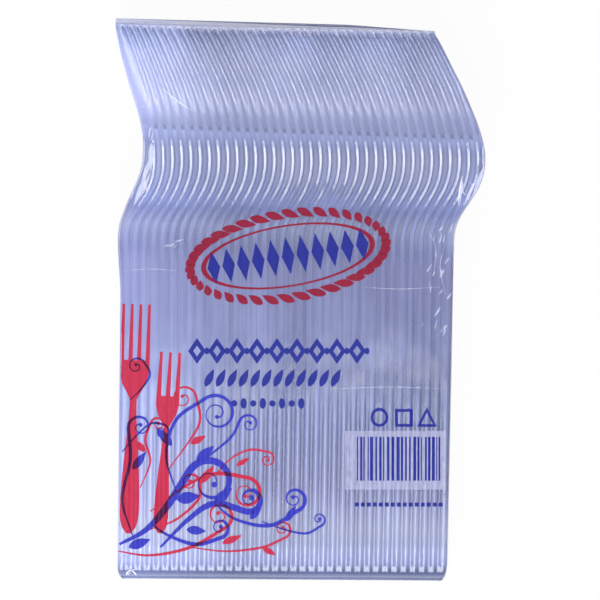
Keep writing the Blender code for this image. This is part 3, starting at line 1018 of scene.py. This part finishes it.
def sign_shapes():
    """A ring, a square and a triangle, drawn as outlines."""
    ring = outlined(ellipse((379.5, 417.5), 9, 9.5, count=32), 0.68)
    square = outlined(box(395, 409, 413, 427), 0.66)
    triangle = outlined([(427, 407), (437, 427), (417, 427)], 0.58)
    return ring + square + triangle


# Left, top, right and bottom of the pale panel and of the bars on it
PANEL_BOX = (345, 431, 446, 490)
BARS_BOX = (357, 437, 444, 481)


def bar_shapes():
    """Upright bars of uneven widths with a row of dashes below."""
    x, top, right, bottom = BARS_BOX
    widths = np.random.default_rng(11).uniform(0.9, 3.2, 60)
    shapes = []
    for thick, gap in zip(widths[::2], widths[1::2]):
        if x + thick > right:
            break
        shapes.append(box(x, top, x + thick, bottom))
        x += thick + gap
    for i in range(15):
        shapes.append(box(355 + i * 6, 503, 359 + i * 6, 507))
    return shapes


# Left, top, width, height, count of tines and tilt of the two forks in the print
PRINTED_FORKS = ((113, 302, 30, 232, 4, -2.2), (148, 350, 23, 184, 3, -3.5))
# Scrolls: the stem's points, and the spiral's radius, its turns, the way it winds and the full width
BLUE_SCROLLS = (
    (((119, 545), (146, 530), (168, 505), (190, 470)), 24, 1.5, 1, 7.6),
    (((160, 548), (188, 520), (214, 504), (246, 512)), 13, 1.4, -1, 6.4),
    (((214, 504), (236, 520), (270, 526), (300, 510)), 12, 1.5, -1, 4.0),
    (((176, 492), (166, 456), (176, 420), (206, 398)), 19, 1.6, 1, 3.6),
    (((132, 536), (122, 500), (130, 460), (128, 428)), 12, 1.3, 1, 3.4),
    (((150, 524), (168, 536), (196, 545), (222, 538)), 10, 1.3, -1, 4.0),
    (((190, 470), (214, 452), (232, 436), (240, 420)), 10, 1.3, 1, 2.8),
    (((262, 522), (284, 530), (306, 534), (322, 526)), 7, 1.2, -1, 2.4),
    (((130, 400), (142, 388), (150, 374), (144, 362)), 9, 1.2, -1, 2.2),
    (((122, 452), (136, 436), (150, 424), (162, 424)), 8, 1.3, 1, 2.2),
)
RED_SCROLLS = (
    (((118, 552), (150, 556), (190, 548), (226, 528)), 14, 1.5, -1, 3.4),
    (((150, 512), (186, 486), (216, 474), (248, 478)), 16, 1.5, 1, 4.0),
    (((190, 548), (226, 552), (262, 548), (286, 538)), 9, 1.4, -1, 2.4),
    (((168, 470), (190, 440), (200, 420), (196, 396)), 13, 1.3, -1, 2.6),
    (((140, 488), (150, 462), (145, 440), (151, 422)), 7, 1.3, 1, 2.6),
    (((216, 474), (232, 458), (250, 450), (268, 452)), 8, 1.3, 1, 2.2),
    (((150, 530), (176, 520), (198, 500), (200, 484)), 10, 1.3, -1, 3.0),
)
# Leaves: base, tip and width
BLUE_LEAVES = (
    ((196, 462), (214, 446), 10),
    ((176, 500), (200, 496), 12),
    ((214, 504), (232, 488), 10),
    ((250, 520), (262, 504), 8),
    ((172, 446), (156, 428), 9),
    ((132, 470), (146, 452), 8),
    ((286, 522), (296, 506), 7),
    ((186, 530), (206, 532), 9),
    ((128, 548), (150, 540), 10),
)
RED_LEAVES = (
    ((200, 484), (214, 466), 8),
    ((158, 508), (160, 486), 8),
    ((222, 544), (242, 536), 7),
    ((190, 444), (206, 436), 7),
    ((146, 452), (132, 440), 7),
    ((262, 548), (276, 556), 6),
    ((236, 466), (250, 458), 5),
)


def scroll_shapes(scrolls, leaves):
    shapes = [part for one in scrolls for part in scroll(*one)]
    return shapes + [leaf(*one) for one in leaves]


# Glints where the film is crumpled: a place, its reach, the way the folds run, their count and width
CRUMPLES = (
    ((146, 190), (5, 13), 64, 8, 1.6),
    ((147, 103), (5, 6), 20, 7, 1.5),
    ((152, 137), (3, 9), 85, 6, 1.8),
    ((470, 192), (8, 14), 112, 8, 1.6),
    ((440, 262), (12, 34), 75, 16, 1.8),
    ((174, 243), (7, 4), 20, 5, 1.6),
    ((127, 573), (6, 4), 40, 4, 1.4),
    ((436, 320), (14, 14), 60, 8, 1.6),
)
# Smooth patches of glare: both ends and the width
GLARES = (
    ((152, 143), (151, 172), 5.5),
    ((151, 158), (141, 188), 4.5),
    ((146, 178), (134, 206), 5.0),
    ((140, 172), (131, 200), 2.2),
    ((151, 172), (141, 198), 2.4),
    ((483, 142), (484, 178), 3.6),
    ((484, 166), (472, 198), 3.8),
    ((474, 182), (464, 206), 3.0),
    ((462, 180), (459, 208), 2.2),
    ((478, 188), (468, 206), 1.8),
)
# Painted highlights along long creases, and sharper painted highlight lines: the points of each
CREASES = (
    ((121, 271), (150, 269), (181, 271)),
    ((360, 287), (400, 289), (440, 287)),
    ((330, 389), (390, 387), (446, 389)),
    ((428, 230), (436, 250), (433, 276)),
    ((446, 240), (440, 268), (447, 300)),
)
HIGHLIGHT_LINES = (
    ((162, 88), (177, 101), (192, 111)),
    ((125, 578), (127, 573), (131, 571)),
    ((131, 571), (134, 574), (137, 578)),
    ((462, 176), (459, 192), (458, 206)),
)


def stroke_shapes(lines, width):
    """Strokes along smooth lines, pointed at both ends."""
    shapes = []
    for points in lines:
        path = smooth(points)
        shapes += ribbon(path, width * np.sin(np.linspace(0.15, math.pi - 0.15, len(path))))
    return shapes


def sliver_shapes():
    """Painted glints: thin slivers that lie along the folds of each crumple, and faint painted highlights
    along creases.
    """
    random = np.random.default_rng(3)
    shapes = []
    for middle, reach, way, count, width in CRUMPLES:
        for _ in range(count):
            place = np.array(middle) + random.uniform(-1, 1, 2) * reach
            angle = math.radians(way + random.uniform(-26, 26))
            along = np.array([math.cos(angle), -math.sin(angle)]) * random.uniform(2.0, 6.5)
            shapes.append(leaf(place - along, place + along, width * random.uniform(0.4, 1.0)))
    return shapes + stroke_shapes(CREASES, CREASE_WIDTH)


# Inks of the print, and painted glare, glints and highlight lines on the film: both ends of a mottled
# colour, and the least and most that they hide
INKS_AND_PAINTED_GLARE = {
    "crimson_ink": ((0.22, 0.006, 0.03), (0.29, 0.010, 0.042), 0.90, 0.98),
    "red_ink": ((0.46, 0.015, 0.052), (0.56, 0.026, 0.075), 0.86, 0.96),
    "blue_ink": ((0.010, 0.017, 0.22), (0.018, 0.028, 0.31), 0.88, 0.97),
    "ribbon_blue_ink": ((0.026, 0.03, 0.42), (0.04, 0.045, 0.50), 0.84, 0.94),
    "overlap_ink": ((0.045, 0.002, 0.04), (0.07, 0.004, 0.06), 0.92, 0.98),
    "pale_ink": ((0.56, 0.58, 0.86), (0.64, 0.66, 0.92), 0.35, 0.5),
    "film_glint": ((0.66, 0.70, 1.0), (0.86, 0.89, 1.0), 0.30, 0.65),
    "film_glare": ((0.62, 0.67, 1.0), (0.80, 0.84, 1.0), 0.55, 0.85),
    "film_highlight_line": ((0.84, 0.87, 1.0), (0.95, 0.96, 1.0), 0.65, 0.95),
}
CREASE_WIDTH = 0.7
HIGHLIGHT_LINE_WIDTH = 1.5


def make_print_and_glare(film):
    inks_and_glare = {name: ink_and_glare_material(name, *looks) for name, looks in INKS_AND_PAINTED_GLARE.items()}
    blue, red = inks_and_glare["blue_ink"], inks_and_glare["red_ink"]
    lozenges, border = badge_shapes()
    lay_print_and_glare("badge_lozenges", lozenges, blue, film)
    lay_print_and_glare("badge_border", border, inks_and_glare["crimson_ink"], film)
    lay_print_and_glare("ornament_rows", ornament_rows(), blue, film)
    lay_print_and_glare("plain_signs", sign_shapes(), blue, film)
    lay_print_and_glare("pale_panel", [box(*PANEL_BOX)], inks_and_glare["pale_ink"], film)
    lay_print_and_glare("bars", bar_shapes(), blue, film, 2 * INK_LIFT)
    forks = [part for one in PRINTED_FORKS for part in fork_figure(*one)]
    figures = lay_print_and_glare("fork_figures", forks, red, film)
    vines = lay_print_and_glare("red_scrolls", scroll_shapes(RED_SCROLLS, RED_LEAVES), red, film, 2 * INK_LIFT)
    scrolls = scroll_shapes(BLUE_SCROLLS, BLUE_LEAVES)
    ribbons = lay_print_and_glare("blue_scrolls", scrolls, inks_and_glare["ribbon_blue_ink"], film, 3 * INK_LIFT, 0.3)
    darken_overlaps(ribbons, (figures, vines), inks_and_glare["overlap_ink"])
    # Painted glare, painted glints and painted highlight lines on the film, over the print
    glares = [leaf(*one) for one in GLARES]
    lay_print_and_glare("film_glares", glares, inks_and_glare["film_glare"], film, 4 * INK_LIFT)
    lay_print_and_glare("film_glints", sliver_shapes(), inks_and_glare["film_glint"], film, 5 * INK_LIFT)
    highlight_lines = stroke_shapes(HIGHLIGHT_LINES, HIGHLIGHT_LINE_WIDTH)
    lay_print_and_glare("film_highlight_lines", highlight_lines, inks_and_glare["film_highlight_line"], film, 6 * INK_LIFT)


def make_forks(material):
    corners, faces = fork_blank()
    to_world = row_to_world(pressed(corners, 0))
    for index in range(FORK_COUNT):
        placed = to_world(pressed(corners, index))
        fork = new_piece(f"clear_fork_{index + 1:02d}", placed, faces, material)
        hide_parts(f"fork_{index + 1:02d}")
    return to_world


def floor_material():
    material, tree, shader = shader_of("pale_floor")
    shader.inputs["Roughness"].default_value = 0.6
    grain = noise_of(tree, texture_place(tree, (1, 1, 1)), 30)
    colour = two_tone(tree, grain, (0.87, 0.87, 0.88), (0.90, 0.90, 0.90))
    tree.links.new(colour, shader.inputs["Base Color"])
    path = tree.nodes.new("ShaderNodeLightPath")
    seen = joined(tree, "MAXIMUM", path.outputs["Is Camera Ray"], path.outputs["Is Transmission Ray"])
    seen = joined(tree, "MAXIMUM", seen, path.outputs["Is Glossy Ray"])
    white = tree.nodes.new("ShaderNodeEmission")
    white.inputs["Color"].default_value = (1, 1, 1, 1)
    mix = tree.nodes.new("ShaderNodeMixShader")
    tree.links.new(times(tree, seen, FLOOR_WHITE_SHARE), mix.inputs["Fac"])
    tree.links.new(shader.outputs["BSDF"], mix.inputs[1])
    tree.links.new(white.outputs["Emission"], mix.inputs[2])
    tree.links.new(mix.outputs["Shader"], tree.nodes["Material Output"].inputs["Surface"])
    return material


def make_floor():
    mesh = bpy.data.meshes.new("floor")
    half = FLOOR_HALF_SIZE
    corners = [(-half, -half, 0), (half, -half, 0), (half, half, 0), (-half, half, 0)]
    mesh.from_pydata(corners, [], [(0, 1, 2, 3)])
    mesh.materials.append(floor_material())
    floor = bpy.data.objects.new("floor", mesh)
    floor.location.z = -FLOOR_DROP
    bpy.context.scene.collection.objects.link(floor)


# Soft boxes: a name, the angle from upright, the azimuth from +X, the distance, the size and radiance
LAMPS = (
    ("key", 45.5, -102, 0.75, (0.48, 0.54), 6.5),
    ("upper_key", 23, -86, 0.75, (0.42, 0.12), 3),
    ("crest_lamp", 14, -90, 1.0, (0.34, 0.13), 6),
    ("tine_lamp", 10.5, 90, 1.0, (0.50, 0.06), 8),
    ("fill", 48, 90, 0.9, (0.90, 0.60), 1.4),
    ("left_strip", 62, 180, 0.60, (0.45, 0.11), 4),
    ("right_strip", 62, 0, 0.60, (0.45, 0.11), 4),
)
LAMP_AIM = (0, 0, 0.02)
WORLD_COLOUR = (0.95, 0.96, 1.0, 1)
WORLD_STRENGTH = 0.13


def make_lamp(name, tilt, azimuth, distance, size, radiance):
    lamp = bpy.data.lights.new(name, "AREA")
    lamp.shape = "RECTANGLE"
    lamp.size, lamp.size_y = size
    lamp.energy = radiance * math.pi * size[0] * size[1]
    holder = bpy.data.objects.new(name, lamp)
    tilt, azimuth = math.radians(tilt), math.radians(azimuth)
    ray = Vector(
        (math.sin(tilt) * math.cos(azimuth), math.sin(tilt) * math.sin(azimuth), math.cos(tilt))
    )
    holder.location = Vector(LAMP_AIM) + distance * ray
    holder.rotation_euler = ray.to_track_quat("Z", "Y").to_euler()
    bpy.context.scene.collection.objects.link(holder)


def make_studio():
    world = bpy.data.worlds.new("studio")
    world.use_nodes = True
    background = world.node_tree.nodes["Background"]
    background.inputs["Color"].default_value = WORLD_COLOUR
    background.inputs["Strength"].default_value = WORLD_STRENGTH
    bpy.context.scene.world = world
    for lamp in LAMPS:
        make_lamp(*lamp)


def make_camera():
    camera = bpy.data.cameras.new("camera")
    camera.sensor_width = 36
    distance = CAMERA_HEIGHT - PRINT_HEIGHT
    camera.lens = camera.sensor_width * distance / (IMAGE_WIDTH * PIXEL)
    holder = bpy.data.objects.new("camera", camera)
    holder.location = (*on_pack((IMAGE_WIDTH / 2, IMAGE_WIDTH / 2)), CAMERA_HEIGHT)
    bpy.context.scene.collection.objects.link(holder)
    bpy.context.scene.camera = holder


def main():
    bpy.context.scene.view_settings.view_transform = "Standard"
    make_camera()
    make_studio()
    make_floor()
    to_world = make_forks(fork_plastic())
    film = make_film(to_world, film_plastic())
    make_print_and_glare(film)


main()
